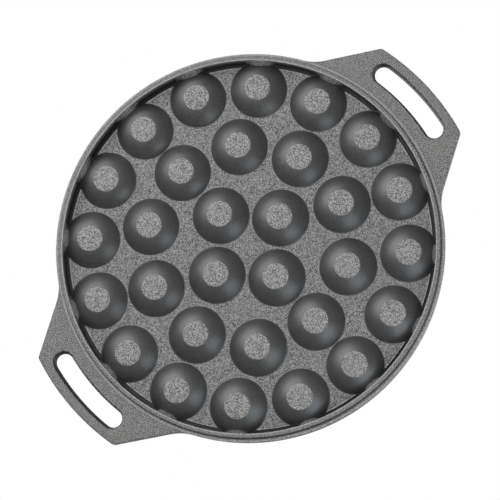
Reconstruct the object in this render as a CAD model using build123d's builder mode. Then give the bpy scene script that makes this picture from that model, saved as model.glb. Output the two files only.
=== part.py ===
from build123d import *
import os
from math import asin, degrees, hypot, radians, sin, sqrt, tan

# A cast-iron pan for thirty small round pancakes, standing on its foot ring.
# The real pan is one casting. It is modelled as the sections that meet in it, face to face.
# X runs along the two handles, and z = 0 is the plane that the foot ring stands on.

# One well: its cup hangs below the web and has a flat ground on its underside
cup_radius = 22.3
cup_drop = 9.0
flat_radius = 9.6
dome_radius = 28.9
cup_lip = 2.1
well_depth = 10.0
well_floor_radius = 8.5
well_wall_radius = 23.4
floor_blend = 3.0
mouth_round = 0.7

# Three circles of wells, packed outwards from the centre with a neck of web between the cups
inner_wells = 4
inner_neck = 2.5
middle_wells = 10
middle_neck = 1.7
outer_wells = 16
outer_neck = 0.8

# The web that joins the wells, how high its underside stands, and how far it runs past them
web_height = 11.0
web_thickness = 4.5
web_margin = 5.4

# The foot ring under the edge of the web
foot_set_in = 3.3
foot_land = 3.2
foot_draft = 2.0
foot_round = 0.7

# The raised rim round the top
rim_rise = 6.5
rim_width = 4.2
rim_draft = 0.5
rim_round = 1.2

# The two handles, each with a slot that follows the pan's edge
handle_height = 6.0
handle_thickness = 7.5
handle_corner_half_width = 45.6
handle_side_angle = 31.0
handle_corner_round = 4.0
handle_toe_blend = 38.0
slot_set_out = 11.1
slot_width = 13.2
slot_end_wall = 9.6
slot_edge_round = 1.8
grip_bar_width = 9.5

well_radius = cup_radius - cup_lip
inner_circle = (cup_radius + inner_neck / 2) / sin(radians(180 / inner_wells))
middle_circle = inner_circle + 2 * cup_radius + middle_neck
outer_circle = middle_circle + 2 * cup_radius + outer_neck
rim_radius = outer_circle + cup_radius + web_margin
foot_outer_radius = rim_radius - foot_set_in
foot_inner_radius = foot_outer_radius - foot_land
web_top = web_height + web_thickness
rim_top = web_top + rim_rise
well_floor_height = web_top - well_depth

circles = {
    "outer": (outer_wells, outer_circle, 0.0),
    "middle": (middle_wells, middle_circle, 180 / middle_wells),
    "inner": (inner_wells, inner_circle, 0.0),
}


def well_places(circle):
    """The centres of one circle of wells."""
    count, radius, first_angle = circles[circle]
    return PolarLocations(radius, count, start_angle=first_angle)


def dome_profile():
    """Half of the cup's outside, from its ground flat up through the web."""
    with BuildSketch() as profile:
        with BuildLine():
            flat = Line((0, web_height - cup_drop), (flat_radius, web_height - cup_drop))
            side = RadiusArc(flat @ 1, (cup_radius, web_height), -dome_radius)
            neck = Line(side @ 1, (cup_radius, web_top))
            Polyline(neck @ 1, (0, web_top), flat @ 0)
        make_face()
    return profile.sketch


def cup_profile():
    """Half of the cup, with the hollow that the batter goes in."""
    with BuildSketch() as profile:
        add(dome_profile())
        with BuildLine():
            floor = Line((0, well_floor_height), (well_floor_radius, well_floor_height))
            wall = RadiusArc(floor @ 1, (well_radius, web_top), -well_wall_radius)
            Polyline(wall @ 1, (0, web_top), floor @ 0)
        make_face(mode=Mode.SUBTRACT)
        mouth = profile.vertices().sort_by_distance((well_radius, web_top))[0]
        fillet(mouth, mouth_round)
        floor_corner = profile.vertices().sort_by_distance((well_floor_radius, well_floor_height))[0]
        fillet(floor_corner, floor_blend)
    return profile.sketch


def turned(profile):
    """A solid turned about the pan's centre line from half of its section."""
    with BuildPart() as piece:
        with BuildSketch(Plane.XZ):
            add(profile)
        revolve(axis=Axis.Z)
    return piece.part


def make_cups(circle):
    """The cups of one circle, as separate solids."""
    with BuildPart() as cups:
        with well_places(circle):
            add(one_cup)
    return cups.part


os.makedirs("parts", exist_ok=True)

one_cup = turned(cup_profile())
for circle in circles:
    cups = make_cups(circle)
    cups.label = f"{circle}_well_cups"
    export_step(cups, f"parts/{circle}_well_cups.step")

with BuildPart() as web_plate:
    with BuildSketch(Plane.XY.offset(web_height)):
        Circle(rim_radius)
        for circle in circles:
            with well_places(circle):
                Circle(cup_radius, mode=Mode.SUBTRACT)
    extrude(amount=web_thickness)
web_plate.part.label = "web_plate"
export_step(web_plate.part, "parts/web_plate.step")

one_dome = turned(dome_profile())
with BuildPart() as foot_ring:
    with BuildSketch(Plane.XZ) as foot_profile:
        with BuildLine():
            land = Line((foot_inner_radius, 0), (foot_outer_radius, 0))
            foot_side = Line(land @ 1, (foot_outer_radius, handle_height - foot_set_in))
            cove = RadiusArc(foot_side @ 1, (rim_radius, handle_height), foot_set_in)
            Polyline(
                cove @ 1,
                (rim_radius, web_height),
                (foot_inner_radius - foot_draft, web_height),
                land @ 0,
            )
        make_face()
        fillet(foot_profile.vertices().group_by(Axis.Y)[0], foot_round)
    revolve(axis=Axis.Z)
    with well_places("outer"):
        add(one_dome, mode=Mode.SUBTRACT)
foot_ring.part.label = "foot_ring"
export_step(foot_ring.part, "parts/foot_ring.step")

with BuildPart() as rim:
    with BuildSketch(Plane.XZ) as rim_profile:
        Polygon(
            (rim_radius - rim_width - rim_draft, web_top),
            (rim_radius, web_top),
            (rim_radius - rim_draft, rim_top),
            (rim_radius - rim_width, rim_top),
            align=None,
        )
        fillet(rim_profile.vertices().group_by(Axis.Y)[-1], rim_round)
    revolve(axis=Axis.Z)
rim.part.label = "raised_rim"
export_step(rim.part, "parts/raised_rim.step")

# Each handle starts at the rim's own circle, and its sides run into that circle with a blend
slot_middle_radius = rim_radius + slot_set_out + slot_width / 2
handle_reach = rim_radius + slot_set_out + slot_width + grip_bar_width
corner_x = sqrt(handle_reach**2 - handle_corner_half_width**2)
side_run = corner_x - rim_radius / 2
side_rise = side_run * tan(radians(handle_side_angle))
slot_cap_half_width = handle_corner_half_width - slot_end_wall - slot_width / 2
slot_half_angle = degrees(asin(slot_cap_half_width / slot_middle_radius))


def is_toe(corner):
    """Whether a corner of the outline is where a handle's side meets the rim."""
    return corner.X > 0 and abs(hypot(corner.X, corner.Y) - rim_radius) < 0.001 * rim_radius


with BuildPart() as right_handle:
    with BuildSketch(Plane.XY.offset(handle_height)) as outline:
        Polygon(
            (rim_radius / 2, handle_corner_half_width + side_rise),
            (corner_x, handle_corner_half_width),
            (handle_reach + handle_corner_round, handle_corner_half_width),
            (handle_reach + handle_corner_round, -handle_corner_half_width),
            (corner_x, -handle_corner_half_width),
            (rim_radius / 2, -handle_corner_half_width - side_rise),
            align=None,
        )
        Circle(handle_reach, mode=Mode.INTERSECT)
        fillet(outline.vertices().group_by(Axis.X)[-1], handle_corner_round)
        Circle(rim_radius)
        fillet(outline.vertices().filter_by(is_toe), handle_toe_blend)
        Circle(rim_radius, mode=Mode.SUBTRACT)
        SlotArc(
            CenterArc((0, 0), slot_middle_radius, -slot_half_angle, 2 * slot_half_angle),
            slot_width,
            mode=Mode.SUBTRACT,
        )
    extrude(amount=handle_thickness)
    slot_faces = right_handle.faces().filter_by(Axis.Z)
    slot_wires = slot_faces.wires().filter_by(lambda wire: wire.bounding_box().size.X < slot_width * 2)
    fillet(slot_wires.edges(), slot_edge_round)
right_handle.part.label = "right_handle"
export_step(right_handle.part, "parts/right_handle.step")

left_handle = mirror(right_handle.part, about=Plane.YZ)
left_handle.label = "left_handle"
export_step(left_handle, "parts/left_handle.step")
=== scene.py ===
from math import acos, asin, atan2, cos, hypot, pi, radians, sin, sqrt, tan

import bmesh
import bpy
from mathutils import Matrix, Vector


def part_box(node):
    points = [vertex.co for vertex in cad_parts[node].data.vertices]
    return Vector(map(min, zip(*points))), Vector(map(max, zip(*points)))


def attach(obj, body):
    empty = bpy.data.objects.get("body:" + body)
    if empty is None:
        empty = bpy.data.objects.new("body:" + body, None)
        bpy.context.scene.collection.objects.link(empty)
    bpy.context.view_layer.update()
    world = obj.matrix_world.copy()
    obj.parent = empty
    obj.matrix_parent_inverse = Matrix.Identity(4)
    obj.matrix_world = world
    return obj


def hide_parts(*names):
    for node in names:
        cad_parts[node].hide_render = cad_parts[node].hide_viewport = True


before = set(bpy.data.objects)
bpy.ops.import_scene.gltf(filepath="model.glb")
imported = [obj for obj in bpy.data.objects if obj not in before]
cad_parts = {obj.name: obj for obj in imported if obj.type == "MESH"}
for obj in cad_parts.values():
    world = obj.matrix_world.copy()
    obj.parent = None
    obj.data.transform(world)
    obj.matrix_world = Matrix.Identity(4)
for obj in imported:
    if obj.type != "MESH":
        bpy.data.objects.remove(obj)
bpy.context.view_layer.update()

# The look of a cast-iron pan for thirty small round pancakes, photographed from underneath

MM = 0.001
ORIGIN = (0.0, 0.0)

# Heights and places that the frame gives
FOOT_LOW, FOOT_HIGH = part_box("foot_ring")
WEB_LOW, WEB_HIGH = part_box("web_plate")
RIM_LOW, RIM_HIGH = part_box("raised_rim")
HANDLE_LOW, HANDLE_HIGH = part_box("right_handle")
CUPS_LOW, CUPS_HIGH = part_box("outer_well_cups")
RIM_RADIUS = FOOT_HIGH.x

# One cup, from the ground flat under it to the mouth of its well
CUP_RADIUS = 22.3 * MM
FLAT_RADIUS = 9.6 * MM
DOME_RADIUS = 28.9 * MM
FLAT_EDGE_ROUND = 0.35 * MM
BASE_FILLET = 1.1 * MM
WELL_RADIUS = 20.2 * MM
WELL_DEPTH = 10.0 * MM
WELL_FLOOR_RADIUS = 8.5 * MM
WELL_WALL_RADIUS = 23.4 * MM
FLOOR_BLEND = 3.0 * MM
MOUTH_ROUND = 0.7 * MM

# Angles round the mouth's edge, up to where it runs into the wall of the well
MOUTH_TURNS = (0.0, pi / 10, pi / 5, 0.3 * pi, 0.36 * pi)

# Where a cup passes through the web, set in from the web's own faces
NECK_STRAIGHT = 1.0 * MM
NECK_SET_IN = 0.5 * MM
LIP_SET_IN = 0.6 * MM
LIP_SET_DOWN = 0.01 * MM

# The three circles of cups: how many, how far out, and the first one's angle
OUTER_NECK = 0.8 * MM
MIDDLE_NECK = 1.7 * MM
OUTER_CIRCLE = CUPS_HIGH.x - CUP_RADIUS
MIDDLE_CIRCLE = OUTER_CIRCLE - 2 * CUP_RADIUS - OUTER_NECK
INNER_CIRCLE = MIDDLE_CIRCLE - 2 * CUP_RADIUS - MIDDLE_NECK
CIRCLES = {
    "outer": (16, OUTER_CIRCLE, 0.0),
    "middle": (10, MIDDLE_CIRCLE, pi / 10),
    "inner": (4, INNER_CIRCLE, 0.0),
}

# The web's plateau and the narrow pockets between it and the foot ring
PLATEAU_RADIUS = 143.0 * MM
PLATEAU_OVERLAP = 0.3 * MM
HOLE_RADIUS = CUP_RADIUS - 1.1 * MM
POCKET_DEPTH = 1.9 * MM

# The foot ring and the ledge outside it
FOOT_OUTER = RIM_RADIUS - 3.3 * MM
FOOT_INNER = FOOT_OUTER - 3.2 * MM
FOOT_DRAFT = 0.3 * MM
FOOT_ROUND = 0.6 * MM
FOOT_TOP = WEB_LOW.z + POCKET_DEPTH + 0.2 * MM
LEDGE_ROUND = 0.6 * MM
LEDGE_SET_BACK = 0.15 * MM

# The spurs from the foot ring to the outer cups, which part the pockets
SPUR_HALF_WIDTH = 9.5 * MM
SPUR_INNER_RADIUS = 142.6 * MM
SPUR_SET_DOWN = 0.4 * MM
SPUR_DROP = 8.2 * MM
SPUR_THINNEST = 0.05 * MM
SPUR_SIDE_CURVE = 3
SPUR_RUN_CURVE = 1.5

# The raised rim
RIM_WIDTH = 4.2 * MM
RIM_DRAFT = 0.5 * MM
RIM_ROUND = 1.2 * MM

# The handles and their slots
HANDLE_CORNER_HALF_WIDTH = 45.6 * MM
HANDLE_SIDE_ANGLE = radians(31.0)
HANDLE_CORNER_ROUND = 4.0 * MM
HANDLE_TOE_BLEND = 38.0 * MM
HANDLE_EDGE_ROUND = 1.3 * MM
HANDLE_ROOT_RADIUS = FOOT_OUTER - 0.8 * MM
SLOT_WIDTH = 13.2 * MM
SLOT_MIDDLE_RADIUS = RIM_RADIUS + 11.1 * MM + SLOT_WIDTH / 2
SLOT_HALF_LENGTH = 36.0 * MM
SLOT_HALF_ANGLE = asin((SLOT_HALF_LENGTH - SLOT_WIDTH / 2) / SLOT_MIDDLE_RADIUS)
SLOT_DRAFT = 1.7 * MM
SLOT_WALL_REACH = SLOT_WIDTH / 2 + HANDLE_EDGE_ROUND + 0.2 * MM
STEEP = 0.8

# How finely the rounds are cut into flats
ROUND_STEPS = 256
CUP_STEPS = 72
DOME_STEPS = 22
WALL_STEPS = 20
FILLET_STEPS = 5
BLEND_STEPS = 6
GAP_STEPS = 10
SPUR_ACROSS = 12
SPUR_ALONG = 6
SLOT_STEPS = 24
CAP_STEPS = 12
GRIP_ROOT_STEPS = 20
GRIP_TOE_STEPS = 16
GRIP_CORNER_STEPS = 8
GRIP_END_STEPS = 12
BEVEL_STEPS = 3
SHARP_ANGLE = radians(32)
MERGE_DISTANCE = 0.002 * MM
ON_AXIS = 1e-7

# The grain that moulding sand leaves, and the larger patches and smudges on it
GRAIN_PER_METRE = 1330.0
UNEVEN_PER_METRE = 420.0
SMUDGES_PER_METRE = 160.0
PATCHES_PER_METRE = 28.0
GRAIN_DEPTH = 0.25 * MM

# Greys in linear light: of the grain's pits, and of its tops
PLAIN_IRON = (0.07, 0.38)
# Lighter edges: partly wear, partly a painted highlight where the edges catch the light
WORN_AND_LIT_IRON = (0.3, 0.72)
# Painted shade: near-black for the deep pockets, the ring's inner wall and the groove at the ring's
# root
POCKET_SHADE = (0.004, 0.03)
# Painted shade on the steep walls of the handles' slots
SLOT_SHADE = (0.008, 0.05)
CUP_FLAT = (0.045, 0.42)
# The cup's sides: dark for their smooth finish, and darker still as painted shade of the slopes
SHADED_CUP_SIDE = (0.024, 0.062)

# The floor and the light of the world round it
FLOOR_HALF_SIZE = 3.0
FLOOR_SET_DOWN = 0.05 * MM
FLOOR_FADE_START = 0.28
FLOOR_FADE_END = 0.62
FLOOR_GREY = 0.8
FLOOR_GLOW = 0.25
WORLD_LIGHT = 0.25

# The camera looks up at the underside, tilted off the pan's axis and rolled
CAMERA_TILT = radians(11.56)
CAMERA_AZIMUTH = radians(88.2)
CAMERA_DISTANCE = 1.6
CAMERA_PIXELS_PER_RADIAN = 2051.5
CAMERA_RIGHT = Vector((0.74302, 0.65477, 0.13856))
CAMERA_TARGET = Vector((-0.0011, 0.0026, 0.0116))
CAMERA_SENSOR = 36.0
PHOTO_WIDTH = 500


def arc(centre, radius, first, sweep, steps):
    """Points about a centre, from a first angle through a sweep."""
    x, y = centre
    angles = [first + sweep * k / steps for k in range(steps + 1)]
    return [(x + radius * cos(angle), y + radius * sin(angle)) for angle in angles]


def arc_centre(start, end, radius):
    """The centre of the arc from start to end that turns left for a positive radius."""
    (ax, ay), (bx, by) = start, end
    half = hypot(bx - ax, by - ay) / 2
    rise = sqrt(radius * radius - half * half) * (1 if radius > 0 else -1)
    normal_x, normal_y = -(by - ay) / (2 * half), (bx - ax) / (2 * half)
    return Vector(((ax + bx) / 2 + normal_x * rise, (ay + by) / 2 + normal_y * rise))


def arc_points(start, end, radius, steps):
    """Points from start to end on an arc that turns left for a positive radius."""
    centre = arc_centre(start, end, radius)
    half = hypot(end[0] - start[0], end[1] - start[1]) / 2
    first = atan2(start[1] - centre.y, start[0] - centre.x)
    return arc(centre, abs(radius), first, 2 * asin(half / radius), steps)


def arc_about(centre, start, end, steps):
    """Points on the shorter arc about a centre, from start to end."""
    first, last = start - centre, end - centre
    first_angle = atan2(first.y, first.x)
    sweep = (atan2(last.y, last.x) - first_angle + pi) % (2 * pi) - pi
    return arc(centre, first.length, first_angle, sweep, steps)


def circle_outline(radius, steps, centre=ORIGIN):
    """A circle as a closed outline."""
    return arc(centre, radius, 0.0, 2 * pi, steps)[:-1]


def rounded(points, radii):
    """A closed outline with each corner rounded by its own radius, or left sharp for 0."""
    outline = []
    count = len(points)
    for k, radius in enumerate(radii):
        corner = Vector(points[k])
        if radius == 0:
            outline.append(tuple(corner))
            continue
        back = (Vector(points[k - 1]) - corner).normalized()
        ahead = (Vector(points[(k + 1) % count]) - corner).normalized()
        reach = radius / tan(back.angle(ahead) / 2)
        turn = back.x * ahead.y - back.y * ahead.x
        start, end = corner + back * reach, corner + ahead * reach
        outline += arc_points(tuple(start), tuple(end), radius if turn < 0 else -radius, BLEND_STEPS)
    return outline


def mesh_object(name, mesh):
    """An object in the scene at the origin, with smooth faces and sharp creases."""
    piece = bpy.data.objects.new(name, mesh)
    bpy.context.scene.collection.objects.link(piece)
    mesh.shade_smooth()
    mesh.set_sharp_from_angle(angle=SHARP_ANGLE)
    return piece


def turned(name, section, steps, closed):
    """A solid turned about the Z axis from points (radius, height). An open one ends on the axis."""
    work = bmesh.new()
    rings = []
    for radius, height in section:
        if radius < ON_AXIS:
            rings.append([work.verts.new((0, 0, height))])
            continue
        rings.append([work.verts.new((x, y, height)) for x, y in circle_outline(radius, steps)])
    pairs = list(zip(rings, rings[1:]))
    if closed:
        pairs.append((rings[-1], rings[0]))
    for low, high in pairs:
        for k in range(steps):
            lower = [low[k % len(low)], low[(k + 1) % len(low)]]
            upper = [high[(k + 1) % len(high)], high[k % len(high)]]
            work.faces.new(list(dict.fromkeys(lower + upper)))
    bmesh.ops.recalc_face_normals(work, faces=work.faces)
    mesh = bpy.data.meshes.new(name)
    work.to_mesh(mesh)
    work.free()
    return mesh


def flat_plate(name, outlines, low, high, edge_round):
    """A plate between two heights, from its outer outline and the outlines of its holes."""
    curve = bpy.data.curves.new(name, "CURVE")
    curve.dimensions = "2D"
    curve.fill_mode = "BOTH"
    for outline in outlines:
        spline = curve.splines.new("POLY")
        spline.points.add(len(outline) - 1)
        for point, (x, y) in zip(spline.points, outline):
            point.co = (x, y, 0, 1)
        spline.use_cyclic_u = True
    curve.extrude = (high - low) / 2 - edge_round
    curve.bevel_depth = edge_round
    curve.bevel_resolution = BEVEL_STEPS
    curve.offset = -edge_round
    holder = bpy.data.objects.new(name, curve)
    bpy.context.scene.collection.objects.link(holder)
    seen = holder.evaluated_get(bpy.context.evaluated_depsgraph_get())
    mesh = bpy.data.meshes.new_from_object(seen)
    bpy.data.objects.remove(holder)
    mesh.transform(Matrix.Translation((0, 0, (low + high) / 2)))
    work = bmesh.new()
    work.from_mesh(mesh)
    bmesh.ops.remove_doubles(work, verts=work.verts, dist=MERGE_DISTANCE)
    bmesh.ops.recalc_face_normals(work, faces=work.faces)
    work.to_mesh(mesh)
    work.free()
    return mesh


def cup_outside():
    """Half of a cup's outside: its flat, its domed side, the fillet under the web, and its neck."""
    low = CUPS_LOW.z
    centre = low + sqrt(DOME_RADIUS**2 - FLAT_RADIUS**2)
    base_lean = asin(CUP_RADIUS / DOME_RADIUS)
    fillet_reach = BASE_FILLET * tan(base_lean / 2)
    first = asin(FLAT_RADIUS / DOME_RADIUS) + FLAT_EDGE_ROUND / DOME_RADIUS
    last = base_lean - fillet_reach / DOME_RADIUS
    leans = [first + (last - first) * k / DOME_STEPS for k in range(DOME_STEPS + 1)]
    flat = [(0, low), (FLAT_RADIUS / 2, low), (FLAT_RADIUS - FLAT_EDGE_ROUND, low)]
    side = [(DOME_RADIUS * sin(lean), centre - DOME_RADIUS * cos(lean)) for lean in leans]
    base = CUP_RADIUS + fillet_reach
    flare = arc_points(side[-1], (base, WEB_LOW.z), -BASE_FILLET, FILLET_STEPS)[1:]
    neck = [(base, WEB_LOW.z + NECK_STRAIGHT), (CUP_RADIUS - NECK_SET_IN, WEB_HIGH.z - NECK_SET_IN)]
    return flat + side + flare + neck


def well_inside():
    """Half of a well: the lip and rounded mouth, the wall, and the blend into the floor."""
    high = WEB_HIGH.z
    floor = high - WELL_DEPTH
    wall_top, wall_foot = (WELL_RADIUS, high), (WELL_FLOOR_RADIUS, floor)
    wall_centre = arc_centre(wall_top, wall_foot, -WELL_WALL_RADIUS)
    blend_rise = wall_centre.y - floor - FLOOR_BLEND
    blend_out = wall_centre.x + sqrt((WELL_WALL_RADIUS - FLOOR_BLEND) ** 2 - blend_rise**2)
    blend_centre = Vector((blend_out, floor + FLOOR_BLEND))
    blend_start = tuple(wall_centre + (blend_centre - wall_centre).normalized() * WELL_WALL_RADIUS)
    wall = arc_points(wall_top, blend_start, -WELL_WALL_RADIUS, WALL_STEPS)
    wall += arc_points(blend_start, (blend_out, floor), -FLOOR_BLEND, BLEND_STEPS)[1:]
    lip = [(CUP_RADIUS - LIP_SET_IN, high - LIP_SET_DOWN)]
    for turn in MOUTH_TURNS:
        out, down = MOUTH_ROUND * (1 - sin(turn)), MOUTH_ROUND * (1 - cos(turn))
        lip.append((WELL_RADIUS + out, high - down - LIP_SET_DOWN))
    below_mouth = [point for point in wall if point[1] < high - MOUTH_ROUND]
    return lip + below_mouth + [(WELL_FLOOR_RADIUS / 2, floor), (0, floor)]


def cup_circle_tree():
    """A node tree that sets copies of the cup it is given at even steps round a circle."""
    tree = bpy.data.node_groups.new("cups round a circle", "GeometryNodeTree")
    face = tree.interface
    face.new_socket("Cup", in_out="INPUT", socket_type="NodeSocketGeometry")
    face.new_socket("Count", in_out="INPUT", socket_type="NodeSocketInt")
    face.new_socket("Circle radius", in_out="INPUT", socket_type="NodeSocketFloat")
    face.new_socket("First angle", in_out="INPUT", socket_type="NodeSocketFloat")
    face.new_socket("Finish", in_out="INPUT", socket_type="NodeSocketMaterial")
    face.new_socket("Cups", in_out="OUTPUT", socket_type="NodeSocketGeometry")

    def node(kind, **inputs):
        """A node of a kind, with its sockets linked to the outputs it is given."""
        made = tree.nodes.new(kind)
        for socket, output in inputs.items():
            tree.links.new(output, made.inputs[socket])
        return made.outputs[0]

    given = tree.nodes.new("NodeGroupInput").outputs
    circle = node("GeometryNodeMeshCircle", Vertices=given["Count"], Radius=given["Circle radius"])
    turn = node("ShaderNodeCombineXYZ", Z=given["First angle"])
    turned_circle = node("GeometryNodeTransform", Geometry=circle, Rotation=turn)
    places = node("GeometryNodeInstanceOnPoints", Points=turned_circle, Instance=given["Cup"])
    real = node("GeometryNodeRealizeInstances", Geometry=places)
    finish = node("GeometryNodeSetMaterial", Geometry=real, Material=given["Finish"])
    tree.links.new(finish, tree.nodes.new("NodeGroupOutput").inputs[0])
    return tree


def set_cups(name, cup_mesh, tree, sizes):
    """One circle of cups as a plain mesh object, from the sizes that the tree's inputs name."""
    holder = bpy.data.objects.new(name, cup_mesh)
    bpy.context.scene.collection.objects.link(holder)
    spread = holder.modifiers.new("circle", "NODES")
    spread.node_group = tree
    for item in tree.interface.items_tree:
        if item.in_out == "INPUT" and item.name in sizes:
            spread[item.identifier] = sizes[item.name]
    seen = holder.evaluated_get(bpy.context.evaluated_depsgraph_get())
    mesh = bpy.data.meshes.new_from_object(seen)
    bpy.data.objects.remove(holder)
    return mesh_object(name, mesh)


class Value:
    """A shader socket that can be used in plain arithmetic."""

    def __init__(self, board, socket):
        self.board = board
        self.socket = socket

    def _math(self, operation, first, second):
        return self.board.node("Math", {"operation": operation}, {0: first, 1: second})

    def __add__(self, other):
        return self._math("ADD", self, other)

    def __sub__(self, other):
        return self._math("SUBTRACT", self, other)

    def __rsub__(self, other):
        return self._math("SUBTRACT", other, self)

    def __mul__(self, other):
        return self._math("MULTIPLY", self, other)

    def larger(self, other):
        """The larger of two values."""
        return self._math("MAXIMUM", self, other)

    def step(self, low, high):
        """0 below low, 1 above high, and smooth between them."""
        settings = {"interpolation_type": "SMOOTHSTEP"}
        inputs = {"Value": self, "From Min": low, "From Max": high, "To Min": 0.0, "To Max": 1.0}
        return self.board.node("MapRange", settings, inputs)

    def window(self, rise_start, rise_end, fall_start, fall_end):
        """1 between a rise and a fall, and 0 outside them."""
        return self.step(rise_start, rise_end) * (1 - self.step(fall_start, fall_end))


class Board:
    """One material's node tree."""

    def __init__(self, name):
        self.material = bpy.data.materials.new(name)
        self.material.use_nodes = True
        self.tree = self.material.node_tree
        self.tree.nodes.clear()

    def node(self, kind, settings=None, inputs=None, output=0):
        """One output of a new node, with its settings and then the values or links of its sockets."""
        made = self.tree.nodes.new("ShaderNode" + kind)
        for name, setting in (settings or {}).items():
            setattr(made, name, setting)
        for name, given in (inputs or {}).items():
            self.feed(made.inputs[name], given)
        return Value(self, made.outputs[output]) if made.outputs else None

    def feed(self, socket, given):
        """Link a value to a socket, or set the socket to a constant."""
        if isinstance(given, Value):
            self.tree.links.new(given.socket, socket)
        else:
            socket.default_value = given

    def place(self):
        """The point on the object, in metres in the frame."""
        return self.node("TexCoord", output="Object")

    def coordinates(self):
        """The three coordinates of the point on the object."""
        split = self.tree.nodes.new("ShaderNodeSeparateXYZ")
        self.feed(split.inputs["Vector"], self.place())
        return [Value(self, output) for output in split.outputs]

    def noise(self, scale, detail, roughness, offset):
        """Noise from about 0 to 1, with features of 1 / scale metres, moved off its own lattice."""
        shift = (offset, offset * 0.7, offset * 0.3)
        where = self.node("VectorMath", {"operation": "ADD"}, {0: self.place(), 1: shift})
        inputs = {"Vector": where, "Scale": scale, "Detail": detail, "Roughness": roughness}
        return self.node("TexNoise", {"noise_dimensions": "3D"}, inputs)

    def mix(self, factor, first, second):
        """A colour between two colours."""
        made = self.tree.nodes.new("ShaderNodeMix")
        made.data_type = "RGBA"
        made.clamp_factor = True
        sockets = {socket.name: socket for socket in made.inputs if socket.enabled}
        self.feed(sockets["Factor"], factor)
        self.feed(sockets["A"], first)
        self.feed(sockets["B"], second)
        return Value(self, [socket for socket in made.outputs if socket.enabled][0])

    def iron(self, colour, roughness, height, gloss):
        """Finish the material as bare iron from its colour, roughness and surface height."""
        bump = self.node("Bump", inputs={"Height": height, "Distance": GRAIN_DEPTH, "Strength": 1.0})
        inputs = {
            "Base Color": colour,
            "Roughness": roughness,
            "Normal": bump,
            "Metallic": 0.0,
            "Specular IOR Level": gloss,
        }
        self.node("OutputMaterial", inputs={"Surface": self.node("BsdfPrincipled", inputs=inputs)})
        return self.material


def grey(level, warmth=0.0):
    """A grey of a level in linear light, leaning warm or, below 0, blue."""
    return (level * (1 + warmth), level, level * (1 - warmth), 1)


def sand_grain(board):
    """The grain that moulding sand leaves: fine pits with a little larger unevenness."""
    fine = board.noise(GRAIN_PER_METRE, 1.0, 0.5, 0.213)
    uneven = board.noise(UNEVEN_PER_METRE, 3.0, 0.55, 0.31)
    return fine * 0.85 + uneven * 0.15


def cast_colour(board, grain, greys):
    """Cast iron: light on the grain's tops and dark in its pits, with faint warm patches."""
    dark, light = greys
    patches = board.noise(PATCHES_PER_METRE, 2.0, 0.5, 0.77).step(0.55, 0.75) * 0.35
    base = board.mix(grain.step(0.44, 0.56), grey(dark, 0.01), grey(light, 0.01))
    return board.mix(patches, base, grey((dark + light) * 0.5, 0.07))


def worn_and_lit_edges(board):
    """A mask of the edges lightened for wear and as a painted highlight: of the plateau, of the foot
    ring's inner side, and of the ledge.
    """
    x, y, z = board.coordinates()
    square = x * x + y * y
    rings = []
    for radius, width, top in (
        (PLATEAU_RADIUS - 0.3 * MM, 0.8 * MM, WEB_LOW.z + 0.3 * MM),
        (FOOT_INNER + 0.4 * MM, 0.8 * MM, FOOT_LOW.z + 0.6 * MM),
        (RIM_RADIUS - 0.9 * MM, 1.3 * MM, HANDLE_LOW.z + 0.5 * MM),
    ):
        inner, middle, outer = (radius - width) ** 2, radius**2, (radius + width) ** 2
        below_top = 1 - z.step(top - 0.1 * MM, top)
        rings.append(square.window(inner, middle, middle, outer) * below_top)
    return rings[0].larger(rings[1]).larger(rings[2])


def painted_pocket_shade(board):
    """A mask of painted shade in the pockets and on the foot ring's inner wall, dark between the spurs
    and deep down.
    """
    x, y, z = board.coordinates()
    square = x * x + y * y
    azimuth = board.node("Math", {"operation": "ARCTAN2"}, {0: y, 1: x})
    wave = board.node("Math", {"operation": "COSINE"}, {0: azimuth * CIRCLES["outer"][0]})
    across = square.window(
        (PLATEAU_RADIUS - 0.1 * MM) ** 2,
        (PLATEAU_RADIUS + 0.1 * MM) ** 2,
        (FOOT_INNER + 0.1 * MM) ** 2,
        (FOOT_INNER + 0.4 * MM) ** 2,
    )
    deep = z.window(
        FOOT_LOW.z - 1.0 * MM,
        FOOT_LOW.z + 8.0 * MM,
        WEB_HIGH.z - 1.5 * MM,
        WEB_HIGH.z - 1.0 * MM,
    )
    return across * deep * (1 - wave.step(0.2, 0.6))


def painted_groove_shade(board):
    """A mask of painted shade on the foot ring's outer wall and the narrow root where it meets the
    ledge.
    """
    x, y, z = board.coordinates()
    across = (x * x + y * y).window(
        (FOOT_OUTER - 0.2 * MM) ** 2,
        (FOOT_OUTER + 0.1 * MM) ** 2,
        (FOOT_OUTER + 0.6 * MM) ** 2,
        (FOOT_OUTER + 1.0 * MM) ** 2,
    )
    up = z.window(
        FOOT_LOW.z + 0.5 * MM,
        FOOT_LOW.z + 1.0 * MM,
        HANDLE_LOW.z + 0.5 * MM,
        HANDLE_LOW.z + 1.0 * MM,
    )
    return across * up


def sand_cast_iron():
    """Rough grey iron of the web, the foot ring, the rim and the handles."""
    board = Board("sand cast iron")
    grain = sand_grain(board)
    plain = cast_colour(board, grain, PLAIN_IRON)
    # The edges are lightened for wear and as a painted highlight
    rubbed_and_lit = board.mix(worn_and_lit_edges(board), plain, cast_colour(board, grain, WORN_AND_LIT_IRON))
    # Painted shade: the pockets, the ring's inner wall and the groove at its root are coloured
    # near-black
    dark = painted_pocket_shade(board).larger(painted_groove_shade(board) * 0.85)
    colour = board.mix(dark, rubbed_and_lit, cast_colour(board, grain, POCKET_SHADE))
    return board.iron(colour, 0.66 - grain * 0.15, grain, 0.5)


def shaded_slot_iron():
    """The steep walls of the handles' slots, coloured near-black as painted shade."""
    board = Board("shaded slot iron")
    grain = sand_grain(board)
    return board.iron(cast_colour(board, grain, SLOT_SHADE), 0.7 - grain * 0.1, grain, 0.3)


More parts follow.
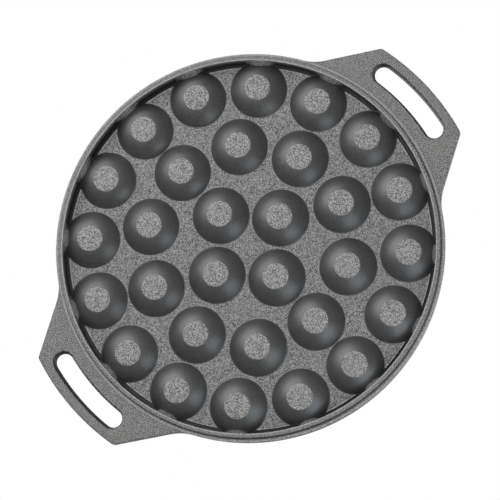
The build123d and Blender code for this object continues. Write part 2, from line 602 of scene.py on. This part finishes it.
def cup_iron():
    """A cup's smooth side and well, dark for their finish and darker still as painted shade of the
    slopes, with the rough grey flat under it and its rough lip.
    """
    board = Board("cup iron")
    grain = sand_grain(board)
    z = board.coordinates()[2]
    flat = 1 - z.step(CUPS_LOW.z + 0.1 * MM, CUPS_LOW.z + 0.35 * MM)
    lip = z.step(WEB_HIGH.z - 0.35 * MM, WEB_HIGH.z - 0.05 * MM)
    rough = flat.larger(lip)
    smudges = board.noise(SMUDGES_PER_METRE, 3.0, 0.6, 0.12)
    pit, top = SHADED_CUP_SIDE
    side_colour = board.mix(grain.step(0.4, 0.6), grey(pit), grey(top))
    colour = board.mix(rough, side_colour, cast_colour(board, grain, CUP_FLAT))
    roughness = rough * 0.2 + 0.42 + (smudges - 0.5) * 0.1
    return board.iron(colour, roughness, grain * (rough * 0.8 + 0.2), 1.0)


def cup_holes(circle):
    """The holes in the web that one circle of cups fills."""
    count, radius, first = CIRCLES[circle]
    centres = arc(ORIGIN, radius, first, 2 * pi, count)[:-1]
    return [circle_outline(HOLE_RADIUS, CUP_STEPS, centre) for centre in centres]


def plateau_edge():
    """The plateau's edge, which runs in round the pan-centre side of each of the outer cups."""
    count, circle, first = CIRCLES["outer"]
    half = acos((circle**2 + PLATEAU_RADIUS**2 - HOLE_RADIUS**2) / (2 * circle * PLATEAU_RADIUS))
    lean = atan2(PLATEAU_RADIUS * sin(half), PLATEAU_RADIUS * cos(half) - circle)
    gap = 2 * pi / count - 2 * half
    edge = []
    for k in range(count):
        angle = first + 2 * pi * k / count
        centre = (circle * cos(angle), circle * sin(angle))
        edge += arc(centre, HOLE_RADIUS, angle - lean, 2 * lean - 2 * pi, CUP_STEPS - 1)
        edge += arc(ORIGIN, PLATEAU_RADIUS, angle + half, gap, GAP_STEPS)[1:-1]
    return edge


def foot_section():
    """The foot ring's section: a flat land, steep walls, and a ledge out to the pan's edge."""
    low, ledge = FOOT_LOW.z, HANDLE_LOW.z + LEDGE_SET_BACK
    corners = [
        (FOOT_INNER, low),
        (FOOT_OUTER, low),
        (FOOT_OUTER + FOOT_DRAFT, ledge),
        (RIM_RADIUS, ledge),
        (RIM_RADIUS, FOOT_TOP),
        (FOOT_INNER - FOOT_DRAFT, FOOT_TOP),
    ]
    return rounded(corners, [FOOT_ROUND, FOOT_ROUND, LEDGE_ROUND, LEDGE_ROUND, 0, 0])


def add_spur(work, angle):
    """A spur of iron that runs from the foot ring onto the outer side of one cup."""
    outer_radius = FOOT_INNER + FOOT_ROUND
    crest = FOOT_LOW.z + SPUR_SET_DOWN
    spin = Matrix.Rotation(angle, 3, "Z")
    surface, base = [], []
    for j in range(SPUR_ALONG + 1):
        run = j / SPUR_ALONG
        radius = outer_radius + (SPUR_INNER_RADIUS - outer_radius) * run
        surface.append([])
        base.append([])
        for k in range(SPUR_ACROSS + 1):
            share = 2 * k / SPUR_ACROSS - 1
            sink = (FOOT_TOP - crest) * abs(share) ** SPUR_SIDE_CURVE
            height = min(crest + sink + SPUR_DROP * run**SPUR_RUN_CURVE, FOOT_TOP - SPUR_THINNEST)
            across = share * SPUR_HALF_WIDTH
            out = sqrt(radius**2 - across**2)
            surface[-1].append(work.verts.new(spin @ Vector((out, across, height))))
            base[-1].append(work.verts.new(spin @ Vector((out, across, FOOT_TOP))))
    faces = []
    for j in range(SPUR_ALONG):
        for k in range(SPUR_ACROSS):
            for grid in (surface, base):
                faces.append([grid[j][k], grid[j][k + 1], grid[j + 1][k + 1], grid[j + 1][k]])
        for k in (0, SPUR_ACROSS):
            faces.append([surface[j][k], surface[j + 1][k], base[j + 1][k], base[j][k]])
    for k in range(SPUR_ACROSS):
        for j in (0, SPUR_ALONG):
            faces.append([surface[j][k], surface[j][k + 1], base[j][k + 1], base[j][k]])
    bmesh.ops.recalc_face_normals(work, faces=[work.faces.new(face) for face in faces])


def foot_mesh():
    """The foot ring with a spur at each of the outer cups."""
    mesh = turned("foot", foot_section(), ROUND_STEPS, True)
    work = bmesh.new()
    work.from_mesh(mesh)
    count, _, first = CIRCLES["outer"]
    for k in range(count):
        add_spur(work, first + 2 * pi * k / count)
    work.to_mesh(mesh)
    work.free()
    return mesh


def web_mesh():
    """The web: a plate out to the rim, and the plateau under it that stops short of the foot ring."""
    low, floor, high = WEB_LOW.z, WEB_LOW.z + POCKET_DEPTH, WEB_HIGH.z
    inner_holes = cup_holes("middle") + cup_holes("inner")
    whole = [circle_outline(RIM_RADIUS, ROUND_STEPS)] + cup_holes("outer") + inner_holes
    plate = flat_plate("web", whole, floor, high, 0.0)
    plateau = flat_plate("plateau", [plateau_edge()] + inner_holes, low, floor + PLATEAU_OVERLAP, 0.0)
    work = bmesh.new()
    work.from_mesh(plate)
    work.from_mesh(plateau)
    work.to_mesh(plate)
    work.free()
    return plate


def rim_section():
    """The raised rim's section, with its top corners rounded."""
    low, high = RIM_LOW.z, RIM_HIGH.z
    corners = [
        (RIM_RADIUS - RIM_WIDTH - RIM_DRAFT, low),
        (RIM_RADIUS, low),
        (RIM_RADIUS - RIM_DRAFT, high),
        (RIM_RADIUS - RIM_WIDTH, high),
    ]
    return rounded(corners, [0, 0, RIM_ROUND, RIM_ROUND])


def grip_outline():
    """The right handle's outline, run in under the rim."""
    reach = HANDLE_HIGH.x
    middle = Vector(ORIGIN)
    corner = Vector((sqrt(reach**2 - HANDLE_CORNER_HALF_WIDTH**2), HANDLE_CORNER_HALF_WIDTH))
    inward = Vector((-cos(HANDLE_SIDE_ANGLE), sin(HANDLE_SIDE_ANGLE)))
    outward = Vector((sin(HANDLE_SIDE_ANGLE), cos(HANDLE_SIDE_ANGLE)))

    toe_out = corner.dot(outward) + HANDLE_TOE_BLEND
    toe_in = -sqrt((RIM_RADIUS + HANDLE_TOE_BLEND) ** 2 - toe_out**2)
    toe_centre = outward * toe_out + inward * toe_in
    toe_start = toe_centre.normalized() * RIM_RADIUS
    toe_end = toe_centre - outward * HANDLE_TOE_BLEND
    toe = arc_about(toe_centre, toe_start, toe_end, GRIP_TOE_STEPS)

    root_end = toe_start.normalized() * HANDLE_ROOT_RADIUS
    root = arc_about(middle, Vector((HANDLE_ROOT_RADIUS, 0)), root_end, GRIP_ROOT_STEPS)

    corner_out = corner.dot(outward) - HANDLE_CORNER_ROUND
    corner_in = -sqrt((reach - HANDLE_CORNER_ROUND) ** 2 - corner_out**2)
    corner_centre = outward * corner_out + inward * corner_in
    corner_start = corner_centre + outward * HANDLE_CORNER_ROUND
    corner_end = corner_centre.normalized() * reach
    soft_corner = arc_about(corner_centre, corner_start, corner_end, GRIP_CORNER_STEPS)
    end = arc_about(middle, corner_end, Vector((reach, 0)), GRIP_END_STEPS)[1:]

    upper = root + toe + soft_corner + end
    return upper + [(x, -y) for x, y in reversed(upper[1:-1])]


def slot_outline():
    """The right handle's slot: two arcs about the pan's middle, with a round cap at each end."""
    middle, half, cap = SLOT_MIDDLE_RADIUS, SLOT_HALF_ANGLE, SLOT_WIDTH / 2
    cap_x, cap_y = middle * cos(half), middle * sin(half)
    far = arc(ORIGIN, middle + cap, -half, 2 * half, SLOT_STEPS)
    near = arc(ORIGIN, middle - cap, half, -2 * half, SLOT_STEPS)
    upper_cap = arc((cap_x, cap_y), cap, half, pi, CAP_STEPS)[1:-1]
    lower_cap = arc((cap_x, -cap_y), cap, pi - half, pi, CAP_STEPS)[1:-1]
    return far + upper_cap + near + lower_cap


def draft_slot(mesh, side):
    """Lean the slot's walls outwards towards the underside, and mark them for the second material."""
    thickness = HANDLE_HIGH.z - HANDLE_LOW.z
    wall = set()
    for vertex in mesh.vertices:
        place = Vector((vertex.co.x * side, vertex.co.y))
        turn = max(-SLOT_HALF_ANGLE, min(SLOT_HALF_ANGLE, atan2(place.y, place.x)))
        away = place - Vector((cos(turn), sin(turn))) * SLOT_MIDDLE_RADIUS
        if away.length < SLOT_WALL_REACH:
            moved = place + away.normalized() * SLOT_DRAFT * (HANDLE_HIGH.z - vertex.co.z) / thickness
            vertex.co.x, vertex.co.y = moved.x * side, moved.y
            wall.add(vertex.index)
    for face in mesh.polygons:
        if abs(face.normal.z) < STEEP and wall.issuperset(face.vertices):
            face.material_index = 1


def finish_piece(piece, node, materials):
    """Give a piece its materials, hang it from the root body, and hide the CAD node that it stands
    for.
    """
    for material in materials:
        piece.data.materials.append(material)
    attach(piece, "root")
    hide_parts(node)


def make_pan():
    """All the sections of the casting."""
    rough = sand_cast_iron()
    smooth = cup_iron()
    slot_shade = shaded_slot_iron()
    cup_mesh = turned("cup", cup_outside() + well_inside(), CUP_STEPS, False)
    tree = cup_circle_tree()
    for circle, (count, radius, first) in CIRCLES.items():
        sizes = {"Count": count, "Circle radius": radius, "First angle": first, "Finish": smooth}
        cups = set_cups(f"{circle}_cups", cup_mesh, tree, sizes)
        finish_piece(cups, f"{circle}_well_cups", [])
    web = mesh_object("web", web_mesh())
    finish_piece(web, "web_plate", [rough])
    foot = mesh_object("foot", foot_mesh())
    finish_piece(foot, "foot_ring", [rough])
    rim = mesh_object("rim", turned("rim", rim_section(), ROUND_STEPS, True))
    finish_piece(rim, "raised_rim", [rough])
    right_outlines = (grip_outline(), slot_outline())
    for side, word in ((1, "right"), (-1, "left")):
        name = f"{word}_grip"
        outlines = [[(x * side, y) for x, y in outline] for outline in right_outlines]
        plate = flat_plate(name, outlines, HANDLE_LOW.z, HANDLE_HIGH.z, HANDLE_EDGE_ROUND)
        draft_slot(plate, side)
        # The second material paints shade on the slots' steep walls
        finish_piece(mesh_object(name, plate), f"{word}_handle", [rough, slot_shade])


def make_floor():
    """A pale floor that fades to white, seen only from above so that the underside stays in view."""
    board = Board("pale floor")
    inputs = {
        "Base Color": grey(FLOOR_GREY),
        "Roughness": 1.0,
        "Emission Color": grey(1.0),
        "Emission Strength": FLOOR_GLOW,
    }
    pale = board.node("BsdfPrincipled", inputs=inputs)
    white = board.node("Emission", inputs={"Color": grey(1.0), "Strength": 1.0})
    x, y, _ = board.coordinates()
    far = (x * x + y * y).step(FLOOR_FADE_START**2, FLOOR_FADE_END**2)
    faded = board.node("MixShader", inputs={0: far, 1: pale, 2: white})
    clear = board.node("BsdfTransparent")
    behind = board.node("NewGeometry", output="Backfacing")
    shown = board.node("MixShader", inputs={0: behind, 1: faded, 2: clear})
    board.node("OutputMaterial", inputs={"Surface": shown})
    half, height = FLOOR_HALF_SIZE, FOOT_LOW.z - FLOOR_SET_DOWN
    corners = [
        (-half, -half, height),
        (half, -half, height),
        (half, half, height),
        (-half, half, height),
    ]
    mesh = bpy.data.meshes.new("floor")
    mesh.from_pydata(corners, [], [(0, 1, 2, 3)])
    mesh.materials.append(board.material)
    floor = bpy.data.objects.new("floor", mesh)
    bpy.context.scene.collection.objects.link(floor)
    floor.visible_shadow = False
    floor.visible_diffuse = False
    floor.visible_glossy = False


def make_world():
    """White where the camera looks past the pan, and a soft grey for the light on it."""
    world = bpy.data.worlds.new("studio")
    world.use_nodes = True
    bpy.context.scene.world = world
    nodes, links = world.node_tree.nodes, world.node_tree.links
    nodes.clear()
    seen = nodes.new("ShaderNodeBackground")
    seen.inputs["Color"].default_value = grey(1.0)
    light = nodes.new("ShaderNodeBackground")
    light.inputs["Color"].default_value = grey(1.0)
    light.inputs["Strength"].default_value = WORLD_LIGHT
    path = nodes.new("ShaderNodeLightPath")
    either = nodes.new("ShaderNodeMixShader")
    out = nodes.new("ShaderNodeOutputWorld")
    links.new(path.outputs["Is Camera Ray"], either.inputs[0])
    links.new(light.outputs[0], either.inputs[1])
    links.new(seen.outputs[0], either.inputs[2])
    links.new(either.outputs[0], out.inputs[0])


def add_lamp(name, side, tilt, azimuth, distance, size, power, colour=(1, 1, 1)):
    """A square soft lamp that looks at the pan's middle, tilted in degrees from the pan's axis.

    The side is 1 for a lamp over the pan and -1 for one under it.
    """
    lamp = bpy.data.lights.new(name, "AREA")
    lamp.shape = "SQUARE"
    lamp.size = size
    lamp.energy = power
    lamp.color = colour
    holder = bpy.data.objects.new(name, lamp)
    bpy.context.scene.collection.objects.link(holder)
    lean, turn = radians(tilt), radians(azimuth)
    away = Vector((sin(lean) * cos(turn), sin(lean) * sin(turn), side * cos(lean)))
    holder.location = away * distance
    holder.rotation_euler = away.to_track_quat("Z", "Y").to_euler()
    holder.visible_camera = False
    return holder


def light_pan():
    """Soft lamps under the pan for the photographed side, and over it for the wells."""
    add_lamp("frontal light below", -1, tilt=24, azimuth=268, distance=0.8, size=1.2, power=3.85)
    fill = add_lamp("fill light below", -1, tilt=55, azimuth=85, distance=1.2, size=1.2, power=4.6)
    fill.visible_glossy = False
    sheen = add_lamp("sheen light below", -1, tilt=42, azimuth=268, distance=1.0, size=1.1, power=9)
    sheen.visible_diffuse = False
    cool, cooler = (0.9, 0.96, 1.0), (0.84, 0.93, 1.0)
    gleam = add_lamp(
        "gleam light below", -1, tilt=58, azimuth=88, distance=0.3, size=0.2, power=0.27, colour=cooler
    )
    gleam.visible_diffuse = False
    add_lamp("broad light above", 1, tilt=32, azimuth=240, distance=1.3, size=0.9, power=18)
    add_lamp(
        "low light above", 1, tilt=55, azimuth=60, distance=1.2, size=0.5, power=7, colour=cool
    )


def make_camera():
    """The camera at the photograph's angle."""
    data = bpy.data.cameras.new("camera")
    data.sensor_fit = "HORIZONTAL"
    data.sensor_width = CAMERA_SENSOR
    data.lens = CAMERA_PIXELS_PER_RADIAN * CAMERA_SENSOR / PHOTO_WIDTH
    data.clip_end = 20
    camera = bpy.data.objects.new("camera", data)
    bpy.context.scene.collection.objects.link(camera)
    back = Vector((
        sin(CAMERA_TILT) * cos(CAMERA_AZIMUTH),
        sin(CAMERA_TILT) * sin(CAMERA_AZIMUTH),
        -cos(CAMERA_TILT),
    ))
    right = (CAMERA_RIGHT - back * CAMERA_RIGHT.dot(back)).normalized()
    up = back.cross(right)
    turn = Matrix((right, up, back)).transposed().to_4x4()
    camera.matrix_world = Matrix.Translation(CAMERA_TARGET + back * CAMERA_DISTANCE) @ turn
    bpy.context.scene.camera = camera


make_pan()
make_floor()
make_world()
light_pan()
make_camera()
bpy.context.scene.view_settings.view_transform = "Standard"
